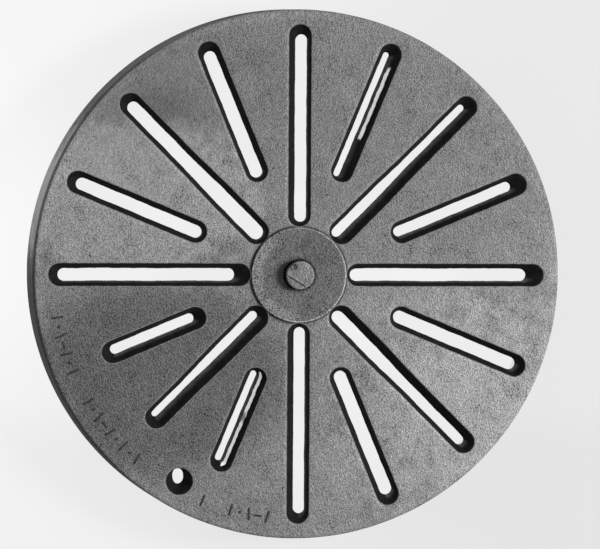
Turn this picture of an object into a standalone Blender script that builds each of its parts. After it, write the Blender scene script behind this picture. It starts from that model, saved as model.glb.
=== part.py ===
"""Round slotted cast-iron cover that turns on a headed pin through its hub.

Metres, +Z up. The origin is at the bottom centre: the rim wall stands on z = 0 and the walking face
is on top. Angles are in degrees, counter-clockwise from +X.
"""

import math

import bmesh
import bpy
from mathutils import Matrix, Vector

# Cover plate: a flat disc with a deep rim wall.
FACE_RADIUS = 0.150
FACE_Z = 0.040
PLATE_THICKNESS = 0.006
UNDERSIDE_Z = FACE_Z - PLATE_THICKNESS
EDGE_CHAMFER = 0.001
RIM_DRAFT = 0.0022
RIM_INNER_TOP = 0.143
RIM_INNER_FOOT = 0.1455
RIM_FILLET = 0.003
BOSS_TOP_RADIUS = 0.0275
BOSS_RADIUS = 0.0245
BOSS_BOTTOM_Z = 0.018
HUB_SEAT_RADIUS = 0.0163

# Radial slots: stadiums whose walls slope inwards down to the underside. A taper is how far a wall
# comes in over the plate's thickness. Slots by their angle: some slope more on one long side (the
# clockwise one before 90 degrees, else the other), a few slope more at one end, and a few lean
# sideways on their way down, counter-clockwise where the lean is positive.
SLOT_SPACING = 22.5
SLOT_COUNT = 16
SLOT_HALF_WIDTH = 0.0062
SIDE_TAPER = 0.0028
INNER_TAPER = 0.0025
OUTER_TAPER = 0.0055
MORE_SIDE_TAPER = {
    22.5: 0.0014, 45.0: 0.0032, 67.5: 0.0038, 90.0: 0.0005,
    202.5: 0.0018, 225.0: 0.0036, 247.5: 0.0036, 270.0: 0.0008, 315.0: 0.0015,
}
SLOT_LEAN = {90.0: -0.0009, 270.0: 0.0015, 292.5: 0.0005}
MORE_INNER_TAPER = {180.0: 0.0066, 202.5: 0.0043, 225.0: 0.0023}
MORE_OUTER_TAPER = {0.0: 0.0042, 22.5: 0.0036, 45.0: 0.0010}
LONG_SLOT_START = 0.0276
SHORT_SLOT_START = 0.0575
SLOT_END = 0.1414
SHORTENED_SLOT_END = 0.120
SHORTENED_SLOTS = (202.5, 225.0, 247.5)
THROAT_EXTRA = 0.0007
THROAT_START = 0.0273
THROAT_END = 0.076

# Hole for the lifting rod, beyond the slots that stop short of it. It leans as it narrows, from round
# at the face to an oval at the underside.
ROD_HOLE_ANGLE = 240.0
ROD_HOLE_DISTANCE = 0.1348
ROD_HOLE_TOP_RADIUS = 0.0075
ROD_HOLE_BOTTOM_RADII = (0.0029, 0.0042)
ROD_HOLE_LEAN = Vector((-0.0006, 0.0026, 0.0))

# Hub, bush, pin and what retains them, on the cover's axis.
GAP = 0.0003
HUB_RADIUS = 0.0271
HUB_TOP_Z = 0.0416
HUB_BARREL_RADIUS = HUB_SEAT_RADIUS - GAP
HUB_BOTTOM_Z = 0.014
HUB_BORE_RADIUS = 0.0083
HUB_RECESS_RADIUS = 0.0089
HUB_RECESS_DEPTH = 0.001
HUB_CHAMFER = 0.0005
BUSH_RADIUS = HUB_BORE_RADIUS - GAP
BUSH_BORE_RADIUS = 0.0063
PIN_HEAD_RADIUS = 0.0081
PIN_RADIUS = BUSH_BORE_RADIUS - GAP
PIN_TOP_Z = 0.0466
PIN_BOTTOM_Z = 0.004
PIN_CHAMFER = 0.0005
WASHER_RADIUS = 0.013
WASHER_TOP_Z = HUB_BOTTOM_Z - GAP
WASHER_THICKNESS = 0.0023
SPLIT_PIN_Z = 0.0088
SPLIT_PIN_HOLE_RADIUS = 0.0019
SPLIT_PIN_WIRE_RADIUS = 0.00075
SPLIT_PIN_LEG_OFFSET = 0.00085
SPLIT_PIN_LEG_LENGTH = 0.007
SPLIT_PIN_EYE_RADIUS = 0.00225
SPLIT_PIN_NECK = 0.0005
# How far the bent tips of its legs stand out past the straight part: along the leg, sideways.
SPLIT_PIN_BENDS = ((0.0026, 0.0034), (0.0012, 0.0016))

TURN_STEPS = 96
SMALL_TURN_STEPS = 48
SLOT_END_SIDES = 20
ROD_HOLE_SIDES = 32
DRILL_SIDES = 24
CUT_MARGIN = 0.002
MERGE = 0.00001
FLAT_ANGLE = math.radians(0.5)


def clear_scene():
    for obj in list(bpy.data.objects):
        bpy.data.objects.remove(obj, do_unlink=True)


def new_collection(name, parent=None):
    collection = bpy.data.collections.new(name)
    (parent or bpy.context.scene.collection).children.link(collection)
    return collection


def new_material(name, color, roughness, metallic):
    material = bpy.data.materials.new(name)
    material.use_nodes = True
    shader = material.node_tree.nodes["Principled BSDF"]
    shader.inputs["Base Color"].default_value = (*color, 1.0)
    shader.inputs["Roughness"].default_value = roughness
    shader.inputs["Metallic"].default_value = metallic
    return material


def mesh_object(name, bm, collection):
    mesh = bpy.data.meshes.new(name)
    bm.to_mesh(mesh)
    bm.free()
    obj = bpy.data.objects.new(name, mesh)
    collection.objects.link(obj)
    return obj


def turned(name, profile, closed, steps, collection):
    """A solid turned about Z from (radius, height) points that run down its outer side."""
    bm = bmesh.new()
    points = [bm.verts.new((radius, 0.0, height)) for radius, height in profile]
    for first, second in zip(points, points[1:]):
        bm.edges.new((first, second))
    if closed:
        bm.edges.new((points[-1], points[0]))
    obj = mesh_object(name, bm, collection)
    screw = obj.modifiers.new("Turn", "SCREW")
    screw.steps = steps
    screw.render_steps = steps
    screw.use_merge_vertices = True
    screw.merge_threshold = MERGE
    return obj


def as_cutter(obj):
    obj.hide_render = True
    obj.display_type = "WIRE"
    return obj


def cut(obj, name, collection):
    modifier = obj.modifiers.new(name, "BOOLEAN")
    modifier.operation = "DIFFERENCE"
    modifier.solver = "EXACT"
    modifier.operand_type = "COLLECTION"
    modifier.collection = collection


def at_cutter_ends(face, drop):
    """The value at a cutter's top and bottom of one that falls by drop through the plate."""
    slope = drop / PLATE_THICKNESS
    return face + slope * CUT_MARGIN, face - drop - slope * CUT_MARGIN


def tapered_slot(name, start, end, half_width, angle, collection):
    """A cutter through the plate: the hull of two round ends, each smaller below than above."""
    more_side = MORE_SIDE_TAPER.get(angle, 0.0)
    inner = INNER_TAPER + MORE_INNER_TAPER.get(angle, 0.0)
    outer = OUTER_TAPER + MORE_OUTER_TAPER.get(angle, 0.0)
    narrowing = SIDE_TAPER + more_side / 2
    towards = 1 if angle < 90 else -1
    radii = at_cutter_ends(half_width, narrowing)
    sideways = at_cutter_ends(0.0, -towards * more_side / 2 - SLOT_LEAN.get(angle, 0.0))
    ends = (
        at_cutter_ends(start + half_width, narrowing - inner),
        at_cutter_ends(end - half_width, outer - narrowing),
    )
    depth = PLATE_THICKNESS + 2 * CUT_MARGIN
    bm = bmesh.new()
    for along in ends:
        made = bmesh.ops.create_cone(
            bm, cap_ends=True, segments=SLOT_END_SIDES,
            radius1=radii[1], radius2=radii[0], depth=depth,
        )
        for vert in made["verts"]:
            level = 0 if vert.co.z > 0 else 1
            vert.co += Vector((along[level], sideways[level], (FACE_Z + UNDERSIDE_Z) / 2))
    bmesh.ops.delete(bm, geom=bm.edges[:], context="EDGES_FACES")
    bmesh.ops.convex_hull(bm, input=bm.verts)
    inside = [vert for vert in bm.verts if not vert.link_faces]
    bmesh.ops.delete(bm, geom=inside, context="VERTS")
    bmesh.ops.dissolve_limit(bm, angle_limit=FLAT_ANGLE, verts=bm.verts, edges=bm.edges)
    bmesh.ops.recalc_face_normals(bm, faces=bm.faces)
    bmesh.ops.rotate(bm, verts=bm.verts, matrix=Matrix.Rotation(math.radians(angle), 3, "Z"))
    return as_cutter(mesh_object(name, bm, collection))


def slot_cutters(collection):
    for index in range(SLOT_COUNT):
        angle = index * SLOT_SPACING
        is_long = index % 2 == 0
        start = LONG_SLOT_START if is_long else SHORT_SLOT_START
        end = SHORTENED_SLOT_END if angle in SHORTENED_SLOTS else SLOT_END
        tapered_slot(f"slot_{index + 1:02d}", start, end, SLOT_HALF_WIDTH, angle, collection)


def throat_cutters(collection):
    """The four diagonal slots are slightly wider over their inner half."""
    for angle in (45.0, 135.0, 225.0, 315.0):
        half_width = SLOT_HALF_WIDTH + THROAT_EXTRA
        end = THROAT_END + half_width
        tapered_slot(f"throat_{angle:.0f}", THROAT_START, end, half_width, angle, collection)


def rod_hole_cutter(collection):
    across, along = (
        at_cutter_ends(ROD_HOLE_TOP_RADIUS, ROD_HOLE_TOP_RADIUS - bottom)
        for bottom in ROD_HOLE_BOTTOM_RADII
    )
    leans = at_cutter_ends(0.0, -1.0)
    bm = bmesh.new()
    bmesh.ops.create_cone(
        bm, cap_ends=True, segments=ROD_HOLE_SIDES, radius1=1.0, radius2=1.0,
        depth=PLATE_THICKNESS + 2 * CUT_MARGIN,
    )
    for vert in bm.verts:
        level = 0 if vert.co.z > 0 else 1
        vert.co.x *= across[level]
        vert.co.y *= along[level]
        vert.co += ROD_HOLE_LEAN * leans[level]
    hole = as_cutter(mesh_object("rod_hole", bm, collection))
    angle = math.radians(ROD_HOLE_ANGLE)
    centre = Vector((math.cos(angle), math.sin(angle), 0.0)) * ROD_HOLE_DISTANCE
    hole.location = centre + Vector((0.0, 0.0, (FACE_Z + UNDERSIDE_Z) / 2))


def cover_plate(parts, helpers):
    slots = new_collection("Slots and hole", helpers)
    throats = new_collection("Throats", helpers)
    slot_cutters(slots)
    rod_hole_cutter(slots)
    throat_cutters(throats)
    foot_radius = FACE_RADIUS + RIM_DRAFT
    profile = [
        (HUB_SEAT_RADIUS, FACE_Z),
        (FACE_RADIUS - EDGE_CHAMFER, FACE_Z),
        (FACE_RADIUS, FACE_Z - EDGE_CHAMFER),
        (foot_radius, EDGE_CHAMFER),
        (foot_radius - EDGE_CHAMFER, 0.0),
        (RIM_INNER_FOOT, 0.0),
        (RIM_INNER_TOP, UNDERSIDE_Z - RIM_FILLET),
        (RIM_INNER_TOP - RIM_FILLET, UNDERSIDE_Z),
        (BOSS_TOP_RADIUS, UNDERSIDE_Z),
        (BOSS_RADIUS, UNDERSIDE_Z - RIM_FILLET),
        (BOSS_RADIUS, BOSS_BOTTOM_Z),
        (HUB_SEAT_RADIUS, BOSS_BOTTOM_Z),
    ]
    plate = turned("cover_plate", profile, True, TURN_STEPS, parts)
    cut(plate, "Cut slots and hole", slots)
    cut(plate, "Widen throats", throats)
    return plate


def hub_flange(parts):
    profile = [
        (HUB_RECESS_RADIUS, HUB_TOP_Z),
        (HUB_RADIUS - HUB_CHAMFER, HUB_TOP_Z),
        (HUB_RADIUS, HUB_TOP_Z - HUB_CHAMFER),
        (HUB_RADIUS, FACE_Z + GAP),
        (HUB_BARREL_RADIUS, FACE_Z + GAP),
        (HUB_BARREL_RADIUS, HUB_BOTTOM_Z),
        (HUB_BORE_RADIUS, HUB_BOTTOM_Z),
        (HUB_BORE_RADIUS, HUB_TOP_Z - HUB_RECESS_DEPTH),
        (HUB_RECESS_RADIUS, HUB_TOP_Z - HUB_RECESS_DEPTH),
    ]
    return turned("hub_flange", profile, True, SMALL_TURN_STEPS, parts)


def ring(name, inner, outer, bottom, top, parts):
    profile = [(inner, top), (outer, top), (outer, bottom), (inner, bottom)]
    return turned(name, profile, True, SMALL_TURN_STEPS, parts)


def pivot_pin(parts, helpers):
    head_bottom = HUB_TOP_Z - HUB_RECESS_DEPTH + GAP
    profile = [
        (0.0, PIN_TOP_Z),
        (PIN_HEAD_RADIUS - PIN_CHAMFER, PIN_TOP_Z),
        (PIN_HEAD_RADIUS, PIN_TOP_Z - PIN_CHAMFER),
        (PIN_HEAD_RADIUS, head_bottom),
        (PIN_RADIUS, head_bottom),
        (PIN_RADIUS, PIN_BOTTOM_Z + PIN_CHAMFER),
        (PIN_RADIUS - PIN_CHAMFER, PIN_BOTTOM_Z),
        (0.0, PIN_BOTTOM_Z),
    ]
    pin = turned("pivot_pin", profile, False, SMALL_TURN_STEPS, parts)
    cross_hole = new_collection("Cross hole", helpers)
    bm = bmesh.new()
    bmesh.ops.create_cone(
        bm, cap_ends=True, segments=DRILL_SIDES, radius1=SPLIT_PIN_HOLE_RADIUS,
        radius2=SPLIT_PIN_HOLE_RADIUS, depth=4 * PIN_RADIUS,
    )
    drill = as_cutter(mesh_object("split_pin_drill", bm, cross_hole))
    drill.location = (0.0, 0.0, SPLIT_PIN_Z)
    drill.rotation_euler = (0.0, math.pi / 2, 0.0)
    cut(pin, "Drill split pin hole", cross_hole)
    return pin


def split_pin_route():
    """The wire's path, seen from above: a bent tip, a leg, the eye, the other leg and its tip."""
    leg, offset = SPLIT_PIN_LEG_LENGTH, SPLIT_PIN_LEG_OFFSET
    side = [(leg + along, offset + sideways) for along, sideways in SPLIT_PIN_BENDS]
    side += [(leg, offset), (-leg, offset)]
    eye_x = -leg - SPLIT_PIN_EYE_RADIUS - SPLIT_PIN_NECK
    turns = [math.radians(angle) for angle in range(45, 316, 30)]
    eye = [
        (eye_x + SPLIT_PIN_EYE_RADIUS * math.cos(turn), SPLIT_PIN_EYE_RADIUS * math.sin(turn))
        for turn in turns
    ]
    return side + eye + [(x, -y) for x, y in reversed(side)]


def split_pin(parts):
    route = split_pin_route()
    curve = bpy.data.curves.new("split_pin", "CURVE")
    curve.dimensions = "3D"
    curve.bevel_depth = SPLIT_PIN_WIRE_RADIUS
    curve.bevel_resolution = 2
    curve.use_fill_caps = True
    spline = curve.splines.new("POLY")
    spline.points.add(len(route) - 1)
    for point, (x, y) in zip(spline.points, route):
        point.co = (x, y, 0.0, 1.0)
    wire = bpy.data.objects.new("split_pin", curve)
    wire.location = (0.0, 0.0, SPLIT_PIN_Z)
    parts.objects.link(wire)
    return wire


def build():
    clear_scene()
    parts = new_collection("slotted_cover")
    helpers = new_collection("Cutters")
    iron = new_material("cast iron", (0.19, 0.19, 0.19), 0.62, 0.35)
    dark_iron = new_material("hub iron", (0.15, 0.15, 0.155), 0.55, 0.4)
    steel = new_material("pin steel", (0.24, 0.24, 0.245), 0.45, 0.7)
    bronze = new_material("bush bronze", (0.45, 0.30, 0.14), 0.4, 1.0)
    zinc = new_material("zinc-plated steel", (0.55, 0.56, 0.58), 0.35, 1.0)
    bush_top = HUB_TOP_Z - HUB_RECESS_DEPTH - GAP
    pieces = (
        (cover_plate(parts, helpers), iron),
        (hub_flange(parts), dark_iron),
        (pivot_pin(parts, helpers), steel),
        (ring("bearing_bush", BUSH_BORE_RADIUS, BUSH_RADIUS, HUB_BOTTOM_Z + GAP, bush_top, parts),
         bronze),
        (ring("thrust_washer", BUSH_BORE_RADIUS, WASHER_RADIUS,
              WASHER_TOP_Z - WASHER_THICKNESS, WASHER_TOP_Z, parts), zinc),
        (split_pin(parts), zinc),
    )
    for obj, material in pieces:
        obj.data.materials.append(material)


build()
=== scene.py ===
"""The looks of the slotted cover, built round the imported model.

Metres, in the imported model's frame: the cover stands on z = 0 with its face up, and angles run
counter-clockwise from +X.
"""

import math

import bmesh
import bpy
import numpy as np
from mathutils import Matrix, Vector, noise
from mathutils.geometry import delaunay_2d_cdt

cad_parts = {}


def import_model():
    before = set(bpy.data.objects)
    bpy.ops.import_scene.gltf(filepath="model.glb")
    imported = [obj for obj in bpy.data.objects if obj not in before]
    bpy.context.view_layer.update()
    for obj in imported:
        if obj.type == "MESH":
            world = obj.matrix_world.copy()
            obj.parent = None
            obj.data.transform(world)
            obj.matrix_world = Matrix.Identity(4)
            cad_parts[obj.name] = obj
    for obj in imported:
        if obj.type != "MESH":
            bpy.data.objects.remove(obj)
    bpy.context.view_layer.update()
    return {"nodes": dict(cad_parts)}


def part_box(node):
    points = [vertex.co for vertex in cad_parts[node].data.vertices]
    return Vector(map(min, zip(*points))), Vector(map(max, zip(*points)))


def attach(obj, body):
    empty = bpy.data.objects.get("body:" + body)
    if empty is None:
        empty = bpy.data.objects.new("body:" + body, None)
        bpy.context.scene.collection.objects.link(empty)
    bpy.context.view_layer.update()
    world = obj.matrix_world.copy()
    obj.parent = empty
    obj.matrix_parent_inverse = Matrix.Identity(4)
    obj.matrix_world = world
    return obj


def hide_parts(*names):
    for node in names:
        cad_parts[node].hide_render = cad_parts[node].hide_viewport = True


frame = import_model()

MM = 0.001
FULL_TURN = 2 * math.pi

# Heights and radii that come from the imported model.
_, PLATE_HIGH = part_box("cover_plate")
HUB_LOW, HUB_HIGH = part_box("hub_flange")
PIN_LOW, PIN_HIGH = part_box("pivot_pin")
BUSH_LOW, BUSH_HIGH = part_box("bearing_bush")
WASHER_LOW, WASHER_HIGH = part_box("thrust_washer")
FACE_Z = PLATE_HIGH.z
FOOT_RADIUS = PLATE_HIGH.x
HUB_RADIUS = HUB_HIGH.x
PIN_HEAD_RADIUS = PIN_HIGH.x

# The plate's casting, as the design has it.
PLATE_THICKNESS = 6 * MM
UNDERSIDE_Z = FACE_Z - PLATE_THICKNESS
RIM_DRAFT = 2.2 * MM
FACE_RADIUS = FOOT_RADIUS - RIM_DRAFT
RIM_EDGE = 1.0 * MM
FOOT_EDGE = 0.8 * MM
RIM_INNER_TOP = 143 * MM
RIM_INNER_FOOT = 145.5 * MM
FILLET = 3 * MM
BOSS_RADIUS = 24.5 * MM
BOSS_BOTTOM_Z = 18 * MM
HUB_SEAT_RADIUS = 16.3 * MM

# Slots: stadiums whose walls slope in towards the underside. The tables go by the slot's angle in
# degrees and add to the tapers in mm.
SLOT_SPACING = 22.5
SLOT_COUNT = 16
SLOT_HALF_WIDTH = 6.2 * MM
SIDE_TAPER = 2.8 * MM
INNER_TAPER = 2.5 * MM
OUTER_TAPER = 5.5 * MM
MORE_SIDE_TAPER = {
    22.5: 1.4, 45.0: 3.2, 67.5: 3.8, 90.0: 0.5, 202.5: 1.8, 225.0: 3.6, 247.5: 3.6, 270.0: 0.8,
    315.0: 1.5,
}
SLOT_LEAN = {90.0: -0.9, 270.0: 1.5, 292.5: 0.5}
MORE_INNER_TAPER = {180.0: 6.6, 202.5: 4.3, 225.0: 2.3}
MORE_OUTER_TAPER = {0.0: 4.2, 22.5: 3.6, 45.0: 1.0}
LONG_SLOT_START = 27.6 * MM
SHORT_SLOT_START = 57.5 * MM
SLOT_END = 141.4 * MM
SHORTENED_SLOT_END = 120 * MM
SHORTENED_SLOTS = (202.5, 225.0, 247.5)
THROAT_SLOTS = (45.0, 135.0, 225.0, 315.0)
THROAT_EXTRA = 0.7 * MM
THROAT_END = 76 * MM
THROAT_BLEND = 16 * MM
ROD_HOLE_ANGLE = 240.0
ROD_HOLE_DISTANCE = 134.8 * MM
ROD_HOLE_TOP_RADIUS = 7.5 * MM
ROD_HOLE_BOTTOM_RADII = (2.9 * MM, 4.2 * MM)
ROD_HOLE_LEAN = Vector((-0.6 * MM, 2.6 * MM))

# The casting's rounded lips, and its uneven surface. The waves are (waves per metre, share) pairs.
UPPER_LIP = 0.6 * MM
LOWER_LIP = 0.35 * MM
BOSS_EDGE = 0.6 * MM
EDGE_WOBBLE = 0.09 * MM
EDGE_WOBBLE_GROWTH = 1.4
EDGE_WAVES = ((120, 1.0), (420, 0.6))
FACE_WAVE = 0.03 * MM
FACE_WAVE_DEPTH = 0.2 * MM
RIM_PULL = 0.12 * MM
RIM_PULL_MEAN = 0.8
CAST_WAVES = ((38, 1.0), (150, 0.45), (400, 0.3))

# How finely the casting is drawn. The clearance round an edge is a share of the step.
RIM_POINTS = 512
BOSS_POINTS = 128
HOLE_POINTS = 80
SLOT_ARC_POINTS = 16
UPPER_LIP_STEPS = 5
WALL_STEPS = 6
LOWER_LIP_STEPS = 3
RIM_EDGE_STEPS = 5
RIM_WALL_STEPS = 14
RIM_INSIDE_STEPS = 10
FILLET_STEPS = 6
BOSS_EDGE_STEPS = 4
SIDE_STEP = 1.5 * MM
FACE_STEP = 1.5 * MM
UNDERSIDE_STEP = 3.0 * MM
EDGE_CLEARANCE = 0.7


def smoothstep(low, high, value):
    part = np.clip((value - low) / (high - low), 0.0, 1.0)
    return part * part * (3 - 2 * part)


# ---------------------------------------------------------------- mesh building


class Shell:
    """Points and faces of one mesh, put together from rings and filled sheets."""

    def __init__(self):
        self.points = []
        self.faces = []
        self.materials = []
        # Share of the painted highlight on the openings' lips, for each point.
        self.lip_highlight = {}

    def add(self, points):
        first = len(self.points)
        self.points.extend(tuple(point) for point in points)
        return list(range(first, len(self.points)))

    def face(self, corners, material):
        self.faces.append(tuple(corners))
        self.materials.append(material)

    def bridge(self, ring, other, material=0):
        """Quads between two closed rings with the same number of points."""
        count = len(ring)
        for i in range(count):
            j = (i + 1) % count
            self.face((ring[i], other[i], other[j], ring[j]), material)

    def fan(self, ring, centre, material=0):
        for i in range(len(ring)):
            self.face((ring[i], ring[(i + 1) % len(ring)], centre), material)

    def sheet(self, outer, holes, inside, height, material):
        """Fills the flat region between the outer ring and the holes with triangles."""
        loops = [outer, *holes]
        known = [index for loop in loops for index in loop]
        flat = [self.points[index][:2] for index in known]
        flat += [tuple(point) for point in inside]
        polygons, first = [], 0
        for loop in loops:
            polygons.append(list(range(first, first + len(loop))))
            first += len(loop)
        made = delaunay_2d_cdt([Vector(point) for point in flat], [], polygons, 1, 1e-9, True)
        places, _, triangles, origins, _, owners = made
        index_of = []
        for place, origin in zip(places, origins):
            if origin and origin[0] < len(known):
                index_of.append(known[origin[0]])
            else:
                index_of += self.add([(place.x, place.y, height)])
        for triangle, owner in zip(triangles, owners):
            if owner == [0]:
                self.face([index_of[corner] for corner in triangle], material)

    def object(self, name, materials):
        mesh = bpy.data.meshes.new(name)
        mesh.from_pydata(self.points, [], self.faces)
        mesh.validate()
        for material in materials:
            mesh.materials.append(material)
        mesh.polygons.foreach_set("material_index", self.materials)
        if self.lip_highlight:
            lip_highlight = mesh.attributes.new("lip_highlight", "FLOAT", "POINT")
            lip_highlight.data.foreach_set("value", [self.lip_highlight.get(i, 0.0) for i in range(len(self.points))])
        obj = bpy.data.objects.new(name, mesh)
        bpy.context.scene.collection.objects.link(obj)
        face_outwards(mesh)
        mesh.shade_smooth()
        return obj


def face_outwards(mesh):
    """Turns every face outwards on a closed mesh."""
    bm = bmesh.new()
    bm.from_mesh(mesh)
    bmesh.ops.recalc_face_normals(bm, faces=bm.faces)
    if bm.calc_volume(signed=True) < 0:
        bmesh.ops.reverse_faces(bm, faces=bm.faces)
    bm.to_mesh(mesh)
    bm.free()


def circle(radius, height, count):
    turns = np.arange(count) * FULL_TURN / count
    return [(radius * math.cos(t), radius * math.sin(t), height) for t in turns]


def arc(centre, radius, start, end, steps):
    """Profile points (r, z) round a centre, from one angle to another in degrees."""
    angles = np.radians(np.linspace(start, end, steps + 1))
    return [(centre[0] + radius * math.cos(a), centre[1] + radius * math.sin(a)) for a in angles]


def line(start, end, steps):
    """Profile points between two points, both left out."""
    parts = [i / steps for i in range(1, steps)]
    return [(start[0] + (end[0] - start[0]) * f, start[1] + (end[1] - start[1]) * f) for f in parts]


def lathe(name, profile, count, material, closed=True):
    """A turned piece. An open profile starts and ends on the axis."""
    shell = Shell()
    if closed:
        rings = [shell.add(circle(r, z, count)) for r, z in profile]
        for ring, other in zip(rings, rings[1:] + rings[:1]):
            shell.bridge(ring, other)
    else:
        top, bottom = shell.add([(0, 0, profile[0][1]), (0, 0, profile[-1][1])])
        rings = [shell.add(circle(r, z, count)) for r, z in profile[1:-1]]
        for ring, other in zip(rings, rings[1:]):
            shell.bridge(ring, other)
        shell.fan(rings[0], top)
        shell.fan(rings[-1], bottom)
    return shell.object(name, [material])


def waves_at(place, waves):
    """Smooth noise at a point, about -1 to 1, summed over (waves per metre, share) pairs."""
    return sum(share * noise.noise(place * rate) for rate, share in waves)


# ---------------------------------------------------------------- the plate's openings


def slot_shapes():
    shapes = []
    for index in range(SLOT_COUNT):
        angle = index * SLOT_SPACING
        more_side = MORE_SIDE_TAPER.get(angle, 0.0) * MM
        shapes.append({
            "angle": math.radians(angle),
            "start": LONG_SLOT_START if index % 2 == 0 else SHORT_SLOT_START,
            "end": SHORTENED_SLOT_END if angle in SHORTENED_SLOTS else SLOT_END,
            "narrowing": SIDE_TAPER + more_side / 2,
            "sideways": (1 if angle < 90 else -1) * more_side / 2 + SLOT_LEAN.get(angle, 0.0) * MM,
            "inner": INNER_TAPER + MORE_INNER_TAPER.get(angle, 0.0) * MM,
            "outer": OUTER_TAPER + MORE_OUTER_TAPER.get(angle, 0.0) * MM,
            "throat": THROAT_EXTRA if angle in THROAT_SLOTS else 0.0,
        })
    return shapes


def slot_ring(slot, depth, widen):
    """The slot's outline at a depth from 0 at the face to 1 at the underside, widened by a lip."""
    half = SLOT_HALF_WIDTH - slot["narrowing"] * depth + widen
    inner_half = half + slot["throat"]
    middle = slot["sideways"] * depth
    inner = slot["start"] + slot["inner"] * depth - widen + inner_half
    outer = slot["end"] - slot["outer"] * depth + widen - half
    side_count = round((slot["end"] - slot["start"]) / SIDE_STEP)
    along = outer + (inner - outer) * np.arange(1, side_count) / side_count
    fading = smoothstep(THROAT_END - THROAT_BLEND, THROAT_END + THROAT_BLEND, along)
    throat = slot["throat"] * (1 - fading)
    turns = np.linspace(-math.pi / 2, math.pi / 2, SLOT_ARC_POINTS + 1)
    u = np.concatenate([
        outer + half * np.cos(turns), along,
        inner - inner_half * np.cos(turns), along[::-1],
    ])
    v = np.concatenate([
        half * np.sin(turns), half + throat,
        -inner_half * np.sin(turns), -(half + throat)[::-1],
    ]) + middle
    cos, sin = math.cos(slot["angle"]), math.sin(slot["angle"])
    return np.column_stack([u * cos - v * sin, u * sin + v * cos])


def rod_hole_ring(depth, widen):
    """The lifting-rod hole's outline, an oval that shrinks and shifts on the way down."""
    angle = math.radians(ROD_HOLE_ANGLE)
    centre = Vector((math.cos(angle), math.sin(angle))) * ROD_HOLE_DISTANCE + ROD_HOLE_LEAN * depth
    half_x, half_y = (
        ROD_HOLE_TOP_RADIUS + (bottom - ROD_HOLE_TOP_RADIUS) * depth + widen
        for bottom in ROD_HOLE_BOTTOM_RADII
    )
    return np.array([
        (centre.x + x * half_x, centre.y + y * half_y) for x, y, _ in circle(1.0, 0, HOLE_POINTS)
    ])


def away_from(ring):
    """Unit vectors that point out of a counter-clockwise ring at each of its points."""
    following = np.roll(ring, -1, axis=0) - np.roll(ring, 1, axis=0)
    normals = np.column_stack([following[:, 1], -following[:, 0]])
    return normals / np.linalg.norm(normals, axis=1)[:, None]


def wobbled(ring, seed, depth):
    """The ring with the slight waviness of a sand mould's edge, which grows on the way down."""
    waves = np.array([waves_at(Vector((x, y, seed)), EDGE_WAVES) for x, y in ring])
    reach = EDGE_WOBBLE * (1 + EDGE_WOBBLE_GROWTH * depth)
    return ring + away_from(ring) * (reach * waves)[:, None]


def wall_levels():
    """(height, depth, widening) of each ring down an opening's wall, with both lips rounded."""
    levels = []
    for turn in np.radians(np.linspace(0, 90, UPPER_LIP_STEPS + 1)):
        levels.append((FACE_Z - UPPER_LIP * (1 - math.cos(turn)), UPPER_LIP * (1 - math.sin(turn))))
    top, bottom = FACE_Z - UPPER_LIP, UNDERSIDE_Z + LOWER_LIP
    levels += [(top + (bottom - top) * i / WALL_STEPS, 0.0) for i in range(1, WALL_STEPS)]
    for turn in np.radians(np.linspace(0, 90, LOWER_LIP_STEPS + 1)):
        levels.append((bottom - LOWER_LIP * math.sin(turn), LOWER_LIP * (1 - math.cos(turn))))
    return [(z, (FACE_Z - z) / PLATE_THICKNESS, widen) for z, widen in levels]


def add_opening(shell, outline, seed, material):
    """Adds an opening's wall and returns its ring on the face and its ring on the underside.

    The values kept for the lip's painted highlight are highest where the edge faces -X, where the
    face is painted lighter as a lit edge.
    """
    rings = []
    for z, depth, widen in wall_levels():
        flat = wobbled(outline(depth, widen), seed, depth)
        rings.append(shell.add([(x, y, z) for x, y in flat]))
    outwards = away_from(outline(0.0, UPPER_LIP))
    shell.lip_highlight.update((i, max(0.0, -x)) for i, x in zip(rings[0], outwards[:, 0]))
    for ring, other in zip(rings, rings[1:]):
        shell.bridge(ring, other, material)
    return rings[0], rings[-1]


def points_inside(radius_low, radius_high, step, loops):
    """A triangular grid between two radii, kept clear of the loops."""
    rows = int(radius_high / (step * math.sqrt(3) / 2)) + 1
    columns = int(radius_high / step) + 1
    i, j = np.mgrid[-columns:columns + 1, -rows:rows + 1]
    points = np.column_stack([
        ((i + 0.5 * (j % 2)) * step).ravel(), (j * step * math.sqrt(3) / 2).ravel(),
    ])
    clear = EDGE_CLEARANCE * step
    radius = np.hypot(points[:, 0], points[:, 1])
    points = points[(radius > radius_low + clear) & (radius < radius_high - clear)]
    for loop in loops:
        low, high = loop.min(axis=0) - clear, loop.max(axis=0) + clear
        near = np.all((points > low) & (points < high), axis=1)
        apart = points[near][:, None, :] - loop[None, :, :]
        too_close = (np.hypot(apart[..., 0], apart[..., 1]) < clear).any(axis=1)
        near_index = np.flatnonzero(near)
        points = np.delete(points, near_index[too_close], axis=0)
    return points


def contains(loop, point):
    """Whether the point is inside the loop, by counting crossings."""
    x, y = point
    x1, y1 = loop[:, 0], loop[:, 1]
    x2, y2 = np.roll(x1, -1), np.roll(y1, -1)
    straddles = (y1 > y) != (y2 > y)
    if not straddles.any():
        return False
    x1, y1, x2, y2 = x1[straddles], y1[straddles], x2[straddles], y2[straddles]
    return bool((x < x1 + (y - y1) * (x2 - x1) / (y2 - y1)).sum() % 2)


# ---------------------------------------------------------------- materials

# The turn of every noise, in radians, and how far a patch's edge strays, as a share of the patch.
NOISE_TURN = (0.6, 0.5, 0.4)
PATCH_RAGGEDNESS = 0.12

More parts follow.
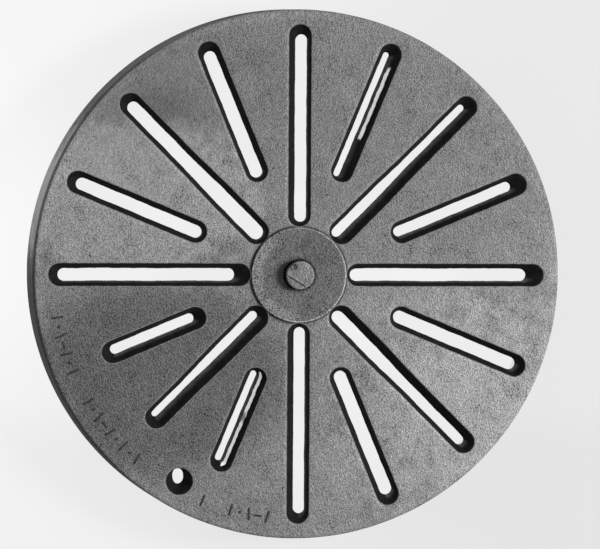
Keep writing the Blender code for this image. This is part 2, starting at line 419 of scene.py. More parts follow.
# Cast iron: the sizes of its grain, spots, blotches and stains, its pits, and its surface.
GRAIN_SIZE = 0.8 * MM
SPOT_SIZE = 2.4 * MM
BLOTCH_SIZE = 9 * MM
STAIN_SIZE = 45 * MM
PIT_SPACING = 1.35 * MM
PIT_SIZE = 0.45
IRON_ROUGHNESS = 0.56
IRON_RELIEF = 0.09 * MM
IRON_METALLIC = 0.3
IRON_SPECULAR = 0.5
SHADED_SHARE = 0.06

# The slots' walls: the face's tone over the lip, then painted shade that leaves the walls near
# black, and a painted reflection, a paler foot on the walls that face the upper left, except in the
# lifting-rod hole.
LIP_TONE = 0.115
LIP_DEPTHS = (0.05 * MM, 0.20 * MM)
LIP_RAGGED_DEPTH = 0.03 * MM
WALL_SHADE_TONE = 0.008
WALL_GRAIN = 0.9 * MM
WALL_BLOTCH = 5 * MM
WALL_ROUGHNESS = 0.75
WALL_RELIEF = 0.04 * MM
WALL_SPECULAR = 0.03
FOOT_REFLECTION_TONE = 0.075
FOOT_HEIGHT = 3.4 * MM
FOOT_FACING = (0.65, 0.95)
ROD_HOLE_SPOT = (-67.4, -116.7, 11, 11, 0.9, -1)

# The painted reflection strip on the walls of these slots, with ovals that stop it, as Nodes.patch
# takes them: the slot's inner part, its outer end, and two gaps in the other slot.
GLINT_SLOTS = (67.5, 247.5)
GLINT_TONE = 0.9
GLINT_Z = UNDERSIDE_Z + 2.6 * MM
GLINT_HALF_WIDTHS = (0.6 * MM, 0.9 * MM)
GLINT_RAGGED_SIZE = 5 * MM
GLINT_RAGGED_DEPTH = 0.22 * MM
GLINT_SIDE = (0.6 * MM, 1.4 * MM)
GLINT_GAPS = (
    (27, 64, 16, 16, 0.9, -1),
    (53, 128, 12, 12, 0.8, -1),
    (-33, -80, 5, 5, 0.4, -0.8),
    (-48, -116, 5, 5, 0.6, -1),
)

# Turned metal: the spacing and relief of its rings, and the size of its dull patches.
TURNED_RING_SPACING = 0.25 * MM
TURNED_RELIEF = 0.01 * MM
DULL_SIZE = 3 * MM


class Nodes:
    """Short forms for building a material's nodes. Only patches, lines and rings are in mm."""

    def __init__(self, name):
        self.material = bpy.data.materials.new(name)
        self.material.use_nodes = True
        self.tree = self.material.node_tree
        self.shader = self.tree.nodes["Principled BSDF"]
        self.position = self.node("ShaderNodeTexCoord").outputs["Object"]
        parts = self.node("ShaderNodeSeparateXYZ")
        self.link(self.position, parts.inputs[0])
        self.x, self.y, self.z = parts.outputs

    def node(self, kind, **settings):
        made = self.tree.nodes.new(kind)
        for key, value in settings.items():
            setattr(made, key, value)
        return made

    def link(self, output, socket):
        self.tree.links.new(output, socket)

    def math(self, operation, *values):
        made = self.node("ShaderNodeMath", operation=operation)
        for socket, value in zip(made.inputs, values):
            if isinstance(value, (int, float)):
                socket.default_value = value
            else:
                self.link(value, socket)
        return made.outputs[0]

    def product(self, *values):
        total = values[0]
        for value in values[1:]:
            total = self.math("MULTIPLY", total, value)
        return total

    def length(self, a, b):
        squares = [self.math("POWER", value, 2.0) for value in (a, b)]
        return self.math("SQRT", self.math("ADD", *squares))

    def radius(self):
        return self.length(self.x, self.y)

    def turned_position(self):
        """The position on tilted axes, so that a flat face doesn't show the noise's own grid."""
        mapping = self.node("ShaderNodeMapping")
        mapping.inputs["Rotation"].default_value = NOISE_TURN
        self.link(self.position, mapping.inputs["Vector"])
        return mapping.outputs[0]

    def noise(self, size, detail=2.0, roughness=0.55, seed=0.0):
        """Noise from about -1 to 1 whose features are about this size."""
        made = self.node("ShaderNodeTexNoise", noise_dimensions="4D")
        made.inputs["W"].default_value = seed
        made.inputs["Scale"].default_value = 1 / size
        made.inputs["Detail"].default_value = detail
        made.inputs["Roughness"].default_value = roughness
        self.link(self.turned_position(), made.inputs["Vector"])
        return self.ramp(made.outputs["Fac"], 0.28, 0.72, -1.0, 1.0)

    def pits(self, spacing, size):
        """1 in small round pits, else 0."""
        made = self.node("ShaderNodeTexVoronoi")
        made.inputs["Scale"].default_value = 1 / spacing
        self.link(self.turned_position(), made.inputs["Vector"])
        return self.ramp(made.outputs["Distance"], size * 0.4, size, 1.0, 0.0)

    def ramp(self, value, low, high, to_low=0.0, to_high=1.0):
        made = self.node("ShaderNodeMapRange", interpolation_type="SMOOTHSTEP")
        limits = {"From Min": low, "From Max": high, "To Min": to_low, "To Max": to_high}
        for name, number in limits.items():
            made.inputs[name].default_value = number
        self.link(value, made.inputs["Value"])
        return made.outputs["Result"]

    def patch(self, shape, ragged=None):
        """1 plus a change inside an oval.

        The shape is its centre and half-widths in mm, the share of it that changes fully, and the
        change.
        """
        centre_x, centre_y, half_x, half_y, core, change = shape
        across = self.math("DIVIDE", self.math("SUBTRACT", self.x, centre_x * MM), half_x * MM)
        along = self.math("DIVIDE", self.math("SUBTRACT", self.y, centre_y * MM), half_y * MM)
        away = self.length(across, along)
        if ragged:
            away = self.math("MULTIPLY_ADD", ragged, PATCH_RAGGEDNESS, away)
        return self.ramp(away, core, 1.0, 1.0 + change, 1.0)

    def line(self, start, end, half_width, change):
        """1 plus a change along a straight line between two points, in mm."""
        start, end = Vector(start) * MM, Vector(end) * MM
        along = (end - start).normalized()
        middle = (start + end) / 2
        x = self.math("SUBTRACT", self.x, middle.x)
        y = self.math("SUBTRACT", self.y, middle.y)
        across = self.math("SUBTRACT", self.product(x, along.y), self.product(y, along.x))
        beyond = self.math("ADD", self.product(x, along.x), self.product(y, along.y))
        beyond = self.math("SUBTRACT", self.math("ABSOLUTE", beyond), (end - start).length / 2)
        away = self.length(across, self.math("MAXIMUM", beyond, 0.0))
        return self.ramp(away, half_width * 0.4 * MM, half_width * MM, 1.0 + change, 1.0)

    def ring(self, middle, half_width, change, towards=None, reach=180.0):
        """1 plus a change on a ring round the axis, in mm, all round or about a direction."""
        away = self.math("ABSOLUTE", self.math("SUBTRACT", self.radius(), middle * MM))
        if towards is None:
            return self.ramp(away, 0.0, half_width * MM, 1.0 + change, 1.0)
        turn = self.math("ARCTAN2", self.y, self.x)
        close = self.math("COSINE", self.math("SUBTRACT", turn, math.radians(towards)))
        faded, full = math.cos(math.radians(reach)), math.cos(math.radians(reach * 0.6))
        facing = self.ramp(close, faded, full)
        strip = self.ramp(away, 0.0, half_width * MM, change, 0.0)
        return self.math("MULTIPLY_ADD", strip, facing, 1.0)

    def finish(self, shade, tone, roughness, height, depth, metallic=0.0, specular=0.5, tint=None):
        """Wires a shade, a roughness and a relief into the shader, and returns the material."""
        color = self.node("ShaderNodeCombineXYZ")
        for socket, share in zip(color.inputs, tint or (1.0, 1.0, 1.0)):
            self.link(self.math("MULTIPLY", shade, tone * share), socket)
        self.link(color.outputs[0], self.shader.inputs["Base Color"])
        self.link(roughness, self.shader.inputs["Roughness"])
        bump = self.node("ShaderNodeBump")
        bump.inputs["Distance"].default_value = depth
        bump.inputs["Strength"].default_value = 1.0
        self.link(height, bump.inputs["Height"])
        self.link(bump.outputs[0], self.shader.inputs["Normal"])
        self.shader.inputs["Metallic"].default_value = metallic
        self.shader.inputs["Specular IOR Level"].default_value = specular
        return self.material


def cast_iron(name, tone, grain=1.0, stains=1.0, patches=(), rings=(), lines=(), rough_patches=(),
              smooth=0.0, dark_below=None, lip_highlight_gain=0.0, gloss=1.0):
    """Sand-cast iron: grain and pits over soft stains, with painted light and shade in places.

    The patches, rings and lines are shapes that Nodes takes, for painted light and shade. The iron
    goes dark on the way down between the two heights of dark_below, a painted shade.
    """
    n = Nodes(name)
    fine = n.noise(GRAIN_SIZE, detail=1.0, seed=1.0)
    coarse = n.noise(SPOT_SIZE, seed=2.0)
    mottle = n.noise(BLOTCH_SIZE, detail=3.0, roughness=0.6, seed=3.0)
    broad = n.noise(STAIN_SIZE, seed=4.0)
    fine = n.product(fine, *[n.patch(shape, mottle) for shape in rough_patches])
    pitted = n.product(n.pits(PIT_SPACING, PIT_SIZE), n.ramp(mottle, 0.0, 0.85, 0.12, 1.0))
    shade = n.math("MULTIPLY_ADD", fine, 0.42 * grain, 1.0)
    shade = n.math("MULTIPLY_ADD", coarse, 0.10 * grain, shade)
    shade = n.math("MULTIPLY_ADD", mottle, -0.07 * stains, shade)
    shade = n.math("MULTIPLY_ADD", broad, 0.05 * stains, shade)
    shade = n.math("MULTIPLY_ADD", pitted, -0.62 * grain, shade)
    factors = [n.patch(shape, mottle) for shape in patches] + [n.ring(*shape) for shape in rings]
    factors += [n.line(*shape) for shape in lines]
    # A painted highlight on the openings' lips, from the mesh's point values.
    if lip_highlight_gain:
        lip_highlight = n.node("ShaderNodeAttribute", attribute_name="lip_highlight").outputs["Fac"]
        factors.append(n.math("MULTIPLY_ADD", lip_highlight, lip_highlight_gain, 1.0))
    if dark_below:
        factors.append(n.ramp(n.z, *dark_below, SHADED_SHARE, 1.0))
    shade = n.product(shade, *factors)
    rough = n.math("MULTIPLY_ADD", fine, 0.07, IRON_ROUGHNESS - smooth)
    rough = n.math("MULTIPLY_ADD", mottle, 0.05, rough)
    height = n.math("MULTIPLY_ADD", coarse, 0.6, fine)
    height = n.math("MULTIPLY_ADD", pitted, -1.0, height)
    return n.finish(shade, tone, rough, height, IRON_RELIEF * grain, metallic=IRON_METALLIC * gloss,
                    specular=IRON_SPECULAR * gloss)


def slot_wall_shade(name, painted_glint=False):
    """The slots' walls: face iron over the lip, then painted shade, near black, with a paler foot
    of painted reflection below.

    Where asked for, the wall on the lower right shows a ragged bright strip, a painted reflection.
    """
    n = Nodes(name)
    fine = n.noise(WALL_GRAIN, seed=1.0)
    mottle = n.noise(WALL_BLOTCH, detail=3.0, seed=5.0)
    depth = n.math("MULTIPLY_ADD", fine, LIP_RAGGED_DEPTH, n.z)
    lip = n.ramp(depth, FACE_Z - LIP_DEPTHS[1], FACE_Z - LIP_DEPTHS[0], 0.0, LIP_TONE)
    normal = n.node("ShaderNodeSeparateXYZ")
    n.link(n.node("ShaderNodeNewGeometry").outputs["True Normal"], normal.inputs[0])
    facing = n.math("SUBTRACT", normal.outputs[1], normal.outputs[0])
    foot = n.ramp(n.z, UNDERSIDE_Z, UNDERSIDE_Z + FOOT_HEIGHT, FOOT_REFLECTION_TONE, 0.0)
    foot = n.product(foot, n.ramp(facing, *FOOT_FACING), n.patch(ROD_HOLE_SPOT))
    foot = n.math("ADD", foot, WALL_SHADE_TONE)
    shade = n.math("MULTIPLY_ADD", fine, 0.2, 1.0)
    shade = n.math("MULTIPLY_ADD", mottle, 0.3, shade)
    tone = n.product(n.math("ADD", lip, foot), shade)
    if painted_glint:
        tone = n.math("ADD", tone, painted_glint_strip(n))
    rough = n.math("MULTIPLY_ADD", mottle, 0.08, WALL_ROUGHNESS)
    return n.finish(tone, 1.0, rough, fine, WALL_RELIEF, specular=WALL_SPECULAR)


def painted_glint_strip(n):
    """Brightness of the painted reflection strip: half way down the wide wall, with gaps along it.
    """
    ragged = n.noise(GLINT_RAGGED_SIZE, detail=2.0, seed=7.0)
    depth = n.math("MULTIPLY_ADD", ragged, GLINT_RAGGED_DEPTH, n.z)
    middle = n.math("ABSOLUTE", n.math("SUBTRACT", depth, GLINT_Z))
    strip = n.ramp(middle, *GLINT_HALF_WIDTHS, GLINT_TONE, 0.0)
    angle = math.radians(GLINT_SLOTS[0])
    side = n.math("SUBTRACT", n.product(n.x, math.sin(angle)), n.product(n.y, math.cos(angle)))
    strip = n.product(strip, n.ramp(side, *GLINT_SIDE))
    for gap in GLINT_GAPS:
        strip = n.product(strip, n.patch(gap))
    return strip


def turned_metal(name, tone, tint=(1.0, 1.0, 1.0), roughness=0.3):
    """Turned metal: fine rings round the axis, with a little dullness in patches."""
    n = Nodes(name)
    rings = n.math("SINE", n.math("MULTIPLY", n.radius(), FULL_TURN / TURNED_RING_SPACING))
    dull = n.noise(DULL_SIZE, detail=4.0, roughness=0.65, seed=8.0)
    shade = n.math("MULTIPLY_ADD", dull, 0.2, 1.0)
    shade = n.math("MULTIPLY_ADD", rings, 0.03, shade)
    rough = n.math("MULTIPLY_ADD", dull, 0.12, roughness)
    return n.finish(shade, tone, rough, rings, TURNED_RELIEF, metallic=1.0, tint=tint)


# ---------------------------------------------------------------- the cover

# The casting's materials, in the order that cover_plate gives them.
FACE, WALLS, GLINT_WALLS, RIM, UNDERSIDE, MARKS = range(6)

# Patches of painted light and shade on the face, and rings, as Nodes takes them: a lighter band
# near the rim, painted shade along the face's edge on the left, and a painted shade line round the
# hub with its painted shadow to the lower left.
FACE_PATCHES = (
    (-92, 42, 78, 50, 0.72, 0.46),
    (-82, -58, 86, 62, 0.70, -0.45),
    (100, -72, 98, 92, 0.22, 0.60),
    (18, -112, 50, 50, 0.2, 0.16),
    (-50, 112, 70, 40, 0.5, -0.14),
    (-84, 94, 42, 17, 0.1, -0.30),
    (60, 80, 120, 100, 0.3, -0.12),
)
FACE_RINGS = (
    (146.5, 4.0, 0.12),
    (149.4, 1.1, -0.8, 178.0, 70.0),
    (149.9, 0.9, -0.9, 200.0, 32.0),
    (27.2, 1.5, -0.93),
    (28.0, 1.6, -0.6, 205.0, 75.0),
)
FACE_ROUGH_PATCHES = ((-85, -60, 88, 64, 0.7, 0.45), (-90, 90, 70, 70, 0.4, -0.35))
# Painted light on the rim's outer wall, brighter on the left and upper left, and a painted shade
# line along its top on the left.
RIM_PATCHES = ((-144, 46, 46, 56, 0.25, 3.4), (-87, 124, 85, 85, 0.3, 0.8))
RIM_RINGS = ((149.8, 0.7, -0.85, 185.0, 66.0),)

# The raised marks: runs of (first angle in degrees, count), made from bars of (length in mm, width
# in mm, slant in degrees), each domed over levels of (share of its width, height over the face).
MARK_RADIUS = 138.5 * MM
MARK_SPACING = 2.2
MARK_RUNS = ((190.0, 7), (211.0, 9), (247.0, 1), (254.0, 5))
MARK_KINDS = (
    (6.0, 1.1, 0), (0.2, 1.6, 0), (6.0, 1.1, 10), (3.0, 1.1, 90), (6.0, 1.1, -10), (0.2, 1.6, 0),
)
MARK_LEVELS = ((1.0, -0.2 * MM), (0.95, 0.25 * MM), (0.6, 0.45 * MM), (0.2, 0.5 * MM))
MARK_END_POINTS = 9


def rim_profile():
    """(r, z) from the face's edge over the rim, down, under the foot and up inside to the plate."""
    edge = FACE_RADIUS - RIM_EDGE
    outer = arc((edge, FACE_Z - RIM_EDGE), RIM_EDGE, 90, 0, RIM_EDGE_STEPS)
    foot = arc((FOOT_RADIUS - RIM_EDGE, RIM_EDGE), RIM_EDGE, 0, -90, RIM_EDGE_STEPS)
    inner = [(RIM_INNER_FOOT + FOOT_EDGE, 0.0), (RIM_INNER_FOOT, FOOT_EDGE)]
    root = arc((RIM_INNER_TOP - FILLET, UNDERSIDE_Z - FILLET), FILLET, 0, 90, FILLET_STEPS)
    outer += line(outer[-1], foot[0], RIM_WALL_STEPS)
    inner += line(inner[-1], root[0], RIM_INSIDE_STEPS)
    return outer + foot + inner + root


def boss_profile():
    """(r, z) from the underside down the boss and up the hub's seat to the face."""
    root = arc((BOSS_RADIUS + FILLET, UNDERSIDE_Z - FILLET), FILLET, 90, 180, FILLET_STEPS)
    centre = (BOSS_RADIUS - BOSS_EDGE, BOSS_BOTTOM_Z + BOSS_EDGE)
    lower = arc(centre, BOSS_EDGE, 0, -90, BOSS_EDGE_STEPS)
    seat = [(HUB_SEAT_RADIUS, BOSS_BOTTOM_Z), (HUB_SEAT_RADIUS, FACE_Z)]
    return root + line(root[-1], lower[0], BOSS_EDGE_STEPS) + lower + seat


def cast_surface(shell):
    """Moves the casting's points a little, for the gentle waves of a sand mould."""
    moved = []
    for x, y, z in shell.points:
        wave = waves_at(Vector((x, y, z)), CAST_WAVES)
        radius = math.hypot(x, y)
        if z > FACE_Z - FACE_WAVE_DEPTH and radius < FACE_RADIUS - RIM_EDGE:
            z += FACE_WAVE * wave
        elif radius > RIM_INNER_FOOT and RIM_EDGE < z:
            pull = 1 - RIM_PULL * (RIM_PULL_MEAN + wave) / radius
            x, y = x * pull, y * pull
        moved.append((x, y, z))
    shell.points = moved


def cover_plate():
    """The plate with its rim, boss and openings, as one closed casting."""
    shell = Shell()
    face_holes, under_holes = [], []
    for index, slot in enumerate(slot_shapes()):
        wall_shade = GLINT_WALLS if index * SLOT_SPACING in GLINT_SLOTS else WALLS
        top, bottom = add_opening(shell, lambda d, w, s=slot: slot_ring(s, d, w), index, wall_shade)
        face_holes.append(top)
        under_holes.append(bottom)
    top, bottom = add_opening(shell, rod_hole_ring, SLOT_COUNT, WALLS)
    face_holes.append(top)
    under_holes.append(bottom)
    rim = [shell.add(circle(r, z, RIM_POINTS)) for r, z in rim_profile()]
    for index, (ring, other) in enumerate(zip(rim, rim[1:])):
        is_outside = index < RIM_WALL_STEPS + 2 * RIM_EDGE_STEPS
        material = FACE if index < RIM_EDGE_STEPS else RIM if is_outside else UNDERSIDE
        shell.bridge(ring, other, material)
    boss = [shell.add(circle(r, z, BOSS_POINTS)) for r, z in boss_profile()]
    for ring, other in zip(boss, boss[1:]):
        shell.bridge(ring, other, UNDERSIDE)
    for outer, inner, holes, step, height, material in (
        (rim[0], boss[-1], face_holes, FACE_STEP, FACE_Z, FACE),
        (rim[-1], boss[0], under_holes, UNDERSIDE_STEP, UNDERSIDE_Z, UNDERSIDE),
    ):
        loops = [np.array([shell.points[i][:2] for i in hole]) for hole in holes]
        low = math.hypot(*shell.points[inner[0]][:2])
        high = math.hypot(*shell.points[outer[0]][:2])
        inside = points_inside(low, high, step, loops)
        inside = inside[[not any(contains(loop, point) for loop in loops) for point in inside]]
        shell.sheet(outer, [inner, *holes], inside, height, material)
    cast_surface(shell)
    foundry_marks(shell)
    plate = shell.object("cover_casting", [
        cast_iron("face iron", tone=0.122, patches=FACE_PATCHES, rings=FACE_RINGS,
                  rough_patches=FACE_ROUGH_PATCHES, lip_highlight_gain=0.45),
        slot_wall_shade("slot wall shade"),
        slot_wall_shade("slot wall shade with painted glint", painted_glint=True),
        cast_iron("rim iron", tone=0.075, grain=0.4, stains=0.8, patches=RIM_PATCHES,
                  rings=RIM_RINGS, gloss=0.0),
        cast_iron("underside iron", tone=0.09, grain=0.9, stains=1.6),
        cast_iron("mark iron", tone=0.03, stains=0.5, gloss=0.3),
    ])
    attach(plate, "cover")
    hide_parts("cover_plate")


def foundry_marks(shell):
    """Plain raised bars, dashes and dots near the rim, in place of a foundry's marks."""
    for first, count in MARK_RUNS:
        for index in range(count):
            length, width, slant = MARK_KINDS[index % len(MARK_KINDS)]
            turn = math.radians(first + index * MARK_SPACING)
            place = np.array([math.cos(turn), math.sin(turn)]) * MARK_RADIUS
            raised_bar(shell, place, turn + math.radians(slant), length * MM, width * MM)


def raised_bar(shell, place, turn, length, width):
    """A domed bar with round ends that is sunk a little into the face."""
    along = np.array([math.cos(turn), math.sin(turn)])
    across = np.array([-along[1], along[0]])
    rings = []
    for share, height in MARK_LEVELS:
        half = width / 2 * share
        turns = np.linspace(-math.pi / 2, math.pi / 2, MARK_END_POINTS)
        u = np.concatenate([length / 2 + half * np.cos(turns), -length / 2 - half * np.cos(turns)])
        v = np.concatenate([half * np.sin(turns), -half * np.sin(turns)])
        flat = place + u[:, None] * along + v[:, None] * across
        rings.append(shell.add([(x, y, FACE_Z + height) for x, y in flat]))
    for ring, other in zip(rings, rings[1:]):
        shell.bridge(ring, other, MARKS)
    shell.face(rings[0], MARKS)
    shell.face(rings[-1], MARKS)


# ---------------------------------------------------------------- hub, pin and small pieces

# The gap between pieces, and the sizes of the hub, the pin and the rings. Known fault: the rings on
# the pin's flat top reach 0.2 mm past the start of its rounded edge, so a thin strip is doubled.
GAP = 0.3 * MM
HUB_EDGE = 0.55 * MM
HUB_BARREL_RADIUS = HUB_SEAT_RADIUS - GAP
HUB_BORE_RADIUS = BUSH_HIGH.x + GAP
HUB_RECESS_RADIUS = PIN_HEAD_RADIUS + 0.8 * MM
HUB_SMALL_EDGE = 0.3 * MM
HUB_RECESS_Z = HUB_HIGH.z - 1.0 * MM
HUB_SHADED_Z = (HUB_HIGH.z - 1.3 * MM, HUB_HIGH.z - 0.5 * MM)
HUB_EDGE_STEPS = 6
HUB_SMALL_EDGE_STEPS = 4
HUB_TOP_STEPS = 14
HUB_POINTS = 192
PIN_RADIUS = 6.0 * MM
PIN_EDGE = 0.5 * MM
PIN_HEAD_LOW_Z = HUB_RECESS_Z + GAP
PIN_HEAD_LOW_EDGE = 0.2 * MM
PIN_SHADED_Z = (PIN_HIGH.z - 1.4 * MM, PIN_HIGH.z - 0.4 * MM)
PIN_EDGE_STEPS = 5
PIN_TOP_STEP = 0.3 * MM
PIN_TOP_REACH = 8.0 * MM
PIN_TOP_BAND = 0.1 * MM
PIN_POINTS = 160
SMALL_BORE_RADIUS = PIN_RADIUS + GAP
BUSH_EDGE = 0.2 * MM
WASHER_EDGE = 0.25 * MM
SMALL_EDGE_STEPS = 3
SMALL_RING_POINTS = 128

# The scored line and the pit on the pin's head.
SCORE_START = Vector((-7.3 * MM, -0.4 * MM))
SCORE_END = Vector((2.7 * MM, -6.7 * MM))
SCORE_HALF_WIDTH = 0.45 * MM
SCORE_DEPTH = 0.35 * MM
SCORE_OVERRUN = 0.3 * MM
PIT_CENTRE = (-3.5 * MM, 4.5 * MM)
PIT_RADIUS = 1.5 * MM
PIT_DEPTH = 0.4 * MM

# Painted light and shade on the hub and the pin, as Nodes takes them: the pin's painted shadow on
# the hub, painted highlights along the hub's and the pin's edges, painted shade round the pin's
# head, in its pit and along its scored line with a painted highlight beside it, and painted light
# on the hub's lower left.
HUB_PATCHES = (
    (-3.6, -0.2, 12.5, 10.5, 0.78, -0.42),
    (12, 14, 16, 16, 0.3, -0.15),
)
HUB_RINGS = (
    (26.6, 0.8, 0.9),
    (26.6, 0.8, 0.8, -20.0, 100.0),
    (9.4, 1.4, -0.4),
    (23.5, 5.0, 0.95, 195.0, 85.0),
)
PIN_PATCHES = ((-3.9, 4.8, 3.3, 2.7, 0.45, -0.75), (3, 3, 6, 6, 0.2, 0.2))
PIN_RINGS = ((7.6, 0.7, 0.9, -15.0, 120.0),)
PIN_LINES = (((-7.2, -0.4), (2.3, -6.4), 0.7, -0.75), ((-6.4, 0.6), (0.6, -3.9), 0.9, 0.35))


def hub():
    """The hub: a flange on the face, a recess round the pin's head and a barrel in the boss."""
    top = HUB_HIGH.z
    flange_z = FACE_Z + GAP
    recess_edge = (HUB_RECESS_RADIUS + HUB_SMALL_EDGE, top - HUB_SMALL_EDGE)
    profile = (
        arc(recess_edge, HUB_SMALL_EDGE, 180, 90, HUB_SMALL_EDGE_STEPS)
        + line((HUB_RECESS_RADIUS, top), (HUB_RADIUS - HUB_EDGE, top), HUB_TOP_STEPS)
        + arc((HUB_RADIUS - HUB_EDGE, top - HUB_EDGE), HUB_EDGE, 90, 0, HUB_EDGE_STEPS)
        + [(HUB_RADIUS, flange_z), (HUB_BARREL_RADIUS, flange_z)]
        + [(HUB_BARREL_RADIUS, HUB_LOW.z + HUB_SMALL_EDGE)]
        + [(HUB_BARREL_RADIUS - HUB_SMALL_EDGE, HUB_LOW.z)]
        + [(HUB_BORE_RADIUS, HUB_LOW.z), (HUB_BORE_RADIUS, HUB_RECESS_Z)]
        + [(HUB_RECESS_RADIUS, HUB_RECESS_Z)]
    )
    iron = cast_iron("hub iron", tone=0.073, grain=1.4, stains=0.9, patches=HUB_PATCHES,
                     rings=HUB_RINGS, dark_below=HUB_SHADED_Z)
    piece = lathe("hub_casting", profile, HUB_POINTS, iron)
    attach(piece, "cover")
    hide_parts("hub_flange")


def pin():
    """The pin, with a scored line and a pit pressed into its head."""
    top = PIN_HIGH.z
    profile = (
        [(0.0, top)]
        + [(r, top) for r in np.arange(PIN_TOP_STEP, PIN_TOP_REACH, PIN_TOP_STEP)]
        + arc((PIN_HEAD_RADIUS - PIN_EDGE, top - PIN_EDGE), PIN_EDGE, 90, 0, PIN_EDGE_STEPS)
        + [(PIN_HEAD_RADIUS, PIN_HEAD_LOW_Z + PIN_HEAD_LOW_EDGE)]
        + [(PIN_HEAD_RADIUS - PIN_HEAD_LOW_EDGE, PIN_HEAD_LOW_Z), (PIN_RADIUS, PIN_HEAD_LOW_Z)]
        + [(PIN_RADIUS, PIN_LOW.z + PIN_EDGE), (PIN_RADIUS - PIN_EDGE, PIN_LOW.z), (0.0, PIN_LOW.z)]
    )
    iron = cast_iron("pin iron", tone=0.105, grain=0.8, patches=PIN_PATCHES, rings=PIN_RINGS,
                     lines=PIN_LINES, dark_below=PIN_SHADED_Z, smooth=0.1)
    piece = lathe("pin_turned", profile, PIN_POINTS, iron, closed=False)
    for vert in piece.data.vertices:
        if vert.co.z > top - PIN_TOP_BAND:
            vert.co.z -= pin_mark_depth(vert.co.x, vert.co.y)
    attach(piece, "pivot")
    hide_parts("pivot_pin")


def pin_mark_depth(x, y):
    """How deep the pin head's scored line and pit are at a point."""
    along = (SCORE_END - SCORE_START).normalized()
    place = Vector((x, y)) - SCORE_START
    across = abs(place.x * -along.y + place.y * along.x)
    length = place.dot(along)
    groove = 0.0
    if -SCORE_OVERRUN < length < (SCORE_END - SCORE_START).length:
        groove = SCORE_DEPTH * max(0.0, 1 - across / SCORE_HALF_WIDTH)
    from_pit = math.hypot(x - PIT_CENTRE[0], y - PIT_CENTRE[1])
    pit = PIT_DEPTH * max(0.0, 1 - (from_pit / PIT_RADIUS) ** 2)
    return max(groove, pit)


def small_ring(name, low, high, edge, material, node, body):
    """A turned ring round the pin, with rounded edges."""
    bore = SMALL_BORE_RADIUS
    profile = []
    for r, z, start in (
        (bore + edge, high.z - edge, 180),
        (high.x - edge, high.z - edge, 90),
        (high.x - edge, low.z + edge, 0),
        (bore + edge, low.z + edge, -90),
    ):
        profile += arc((r, z), edge, start, start - 90, SMALL_EDGE_STEPS)
    piece = lathe(name, profile, SMALL_RING_POINTS, material)
    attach(piece, body)
    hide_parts(node)


# ---------------------------------------------------------------- stage, light and camera

# The pale stage: a floor that glows less towards +X and towards -Y, a glow close to the cover's
# shaded side, as Nodes.patch takes it, and a bright disc under the cover that fills its openings.
STAGE_POINTS = 128
STAGE_ROUGHNESS = 0.9
FLOOR_RADIUS = 3.0
FLOOR_Z = -0.6 * MM
FLOOR_ALBEDO = 0.06
FLOOR_GLOW = 0.84
FLOOR_FALL = 0.13
FLOOR_FALL_X = (-0.17, 0.17)
FLOOR_NEAR_SHARE = 0.955
FLOOR_NEAR_Y = (-0.11, -0.07)
FLOOR_PATCHES = ((-170, 10, 80, 130, 0.05, 0.085),)
DISC_RADIUS = 0.142
DISC_Z = -0.3 * MM
DISC_ALBEDO = 0.05
DISC_GLOW = 0.845

KEY_PLACE = (1.22, 0.12, 1.15)
KEY_SIZE = 0.4
KEY_POWER = 43
FILL_PLACE = (-1.2, 0.3, 1.2)
FILL_SIZE = 1.0
FILL_POWER = 8
WORLD_STRENGTH = 0.4

CAMERA_TILT = 7.92
CAMERA_SIDE = 164.8
CAMERA_ROLL = 0.35
CAMERA_DISTANCE = 1.543
CAMERA_REACH = 50
SENSOR_WIDTH = 36
LENS = 163.5
AIM = (0.55 * MM, 0.20 * MM)


def area_light(name, location, size, power):
    """A square soft light that points at the cover."""
    data = bpy.data.lights.new(name, "AREA")
    data.shape = "RECTANGLE"
    data.size = data.size_y = size
    data.energy = power
    light = bpy.data.objects.new(name, data)
    light.location = location
    light.rotation_euler = (-Vector(location)).to_track_quat("-Z", "Y").to_euler()
    bpy.context.scene.collection.objects.link(light)


def stage_plane(name, radius, height, albedo, glow, fall=0.0, patches=()):
    """A pale disc that glows evenly or, if a fall is given, less towards +X and in patches."""
    shell = Shell()
    ring = shell.add(circle(radius, height, STAGE_POINTS))
    centre = shell.add([(0, 0, height)])[0]
    shell.fan(ring, centre)
    n = Nodes(name)
    n.shader.inputs["Base Color"].default_value = (albedo, albedo, albedo, 1.0)
    n.shader.inputs["Roughness"].default_value = STAGE_ROUGHNESS
    n.shader.inputs["Specular IOR Level"].default_value = 0.0
    n.shader.inputs["Emission Color"].default_value = (1, 1, 1, 1)
    n.shader.inputs["Emission Strength"].default_value = glow
    if fall:
        strength = n.ramp(n.x, *FLOOR_FALL_X, glow, glow - fall)
        strength = n.product(strength, n.ramp(n.y, *FLOOR_NEAR_Y, FLOOR_NEAR_SHARE, 1.0))
        strength = n.product(strength, *[n.patch(shape) for shape in patches])
        n.link(strength, n.shader.inputs["Emission Strength"])
    obj = shell.object(name, [n.material])


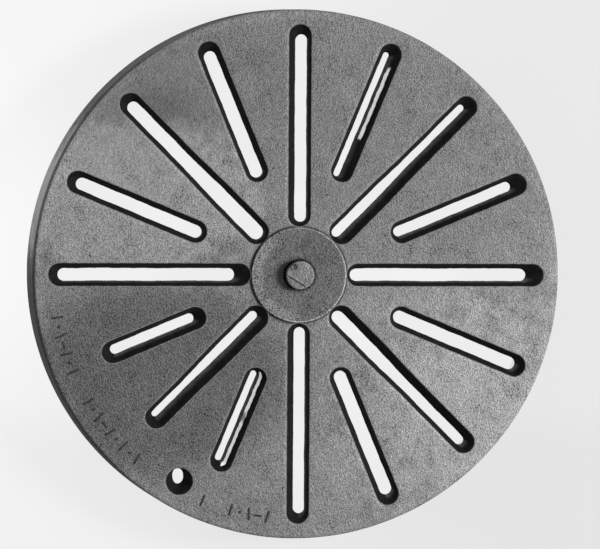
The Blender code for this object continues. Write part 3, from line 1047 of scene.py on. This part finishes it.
def camera():
    """A long lens that looks down on the face from a little to its left."""
    tilt, towards = math.radians(CAMERA_TILT), math.radians(CAMERA_SIDE)
    target = Vector((AIM[0], AIM[1], FACE_Z))
    back = Vector((
        math.sin(tilt) * math.cos(towards), math.sin(tilt) * math.sin(towards), math.cos(tilt),
    ))
    roll = Matrix.Rotation(math.radians(CAMERA_ROLL), 3, back)
    right = roll @ Vector((0, 1, 0)).cross(back).normalized()
    up = back.cross(right)
    data = bpy.data.cameras.new("camera")
    data.sensor_width = SENSOR_WIDTH
    data.lens = LENS
    data.clip_end = CAMERA_REACH
    obj = bpy.data.objects.new("camera", data)
    obj.matrix_world = Matrix((
        (right.x, up.x, back.x, target.x + back.x * CAMERA_DISTANCE),
        (right.y, up.y, back.y, target.y + back.y * CAMERA_DISTANCE),
        (right.z, up.z, back.z, target.z + back.z * CAMERA_DISTANCE),
        (0, 0, 0, 1),
    ))
    bpy.context.scene.collection.objects.link(obj)
    bpy.context.scene.camera = obj


def world(strength):
    made = bpy.data.worlds.new("studio")
    made.use_nodes = True
    background = made.node_tree.nodes["Background"]
    background.inputs["Color"].default_value = (1, 1, 1, 1)
    background.inputs["Strength"].default_value = strength
    bpy.context.scene.world = made
    bpy.context.scene.view_settings.view_transform = "Standard"


# ---------------------------------------------------------------- the scene

BRONZE_TINT = (1.0, 0.68, 0.36)
ZINC_TINT = (1.0, 1.0, 1.02)

cover_plate()
hub()
pin()
small_ring("bush_turned", BUSH_LOW, BUSH_HIGH, BUSH_EDGE,
           turned_metal("bush bronze", tone=0.6, tint=BRONZE_TINT, roughness=0.3),
           "bearing_bush", "cover")
small_ring("washer_turned", WASHER_LOW, WASHER_HIGH, WASHER_EDGE,
           turned_metal("washer zinc", tone=0.55, tint=ZINC_TINT, roughness=0.38),
           "thrust_washer", "pivot")
split = frame["nodes"]["split_pin"]
split.data.materials.clear()
split.data.materials.append(
    turned_metal("split pin zinc", tone=0.5, tint=ZINC_TINT, roughness=0.4))

stage_plane("floor", FLOOR_RADIUS, FLOOR_Z, FLOOR_ALBEDO, FLOOR_GLOW, FLOOR_FALL, FLOOR_PATCHES)
stage_plane("light_table", DISC_RADIUS, DISC_Z, DISC_ALBEDO, DISC_GLOW)
area_light("key", KEY_PLACE, KEY_SIZE, KEY_POWER)
area_light("fill", FILL_PLACE, FILL_SIZE, FILL_POWER)
world(WORLD_STRENGTH)
camera()
